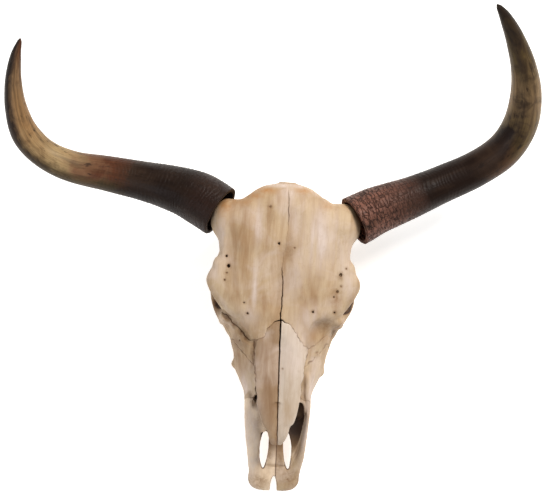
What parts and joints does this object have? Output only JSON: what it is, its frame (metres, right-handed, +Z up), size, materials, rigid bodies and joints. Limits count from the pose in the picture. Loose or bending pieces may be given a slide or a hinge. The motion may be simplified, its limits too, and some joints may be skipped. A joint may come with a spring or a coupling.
{
  "type": "cow skull",
  "caption": "Weathered adult cow skull without its lower jaw, lying forehead up, with long dark horns that sweep out and curve up at the tips.",
  "frame": {"origin": "centre of the whole outline's box, on the surface that the skull lies on", "axes": "+X to the animal's left, across the horns; +Y from the muzzle towards the poll; +Z up, out of the forehead"},
  "size_m": [0.8205, 0.7192, 0.3652],
  "materials": {
    "bone": "dry weathered bone, matte",
    "horn_core": "dry bone with an orange-brown stain, matte",
    "horn": "dark brown horn, satin"
  },
  "bodies": {
    "root": {"frontal_left": "bone", "frontal_right": "bone", "nasal_left": "bone", "nasal_right": "bone", "lacrimal_left": "bone", "lacrimal_right": "bone", "zygomatic_left": "bone", "zygomatic_right": "bone", "maxilla_left": "bone", "maxilla_right": "bone", "premaxilla_left": "bone", "premaxilla_right": "bone", "palatine_left": "bone", "palatine_right": "bone", "temporal_left": "bone", "temporal_right": "bone", "occipital": "bone", "sphenoid": "bone", "vomer": "bone", "horn_core_left": "horn_core", "horn_core_right": "horn_core", "horn_sheath_left": "horn", "horn_sheath_right": "horn"}
  },
  "joints": []
}
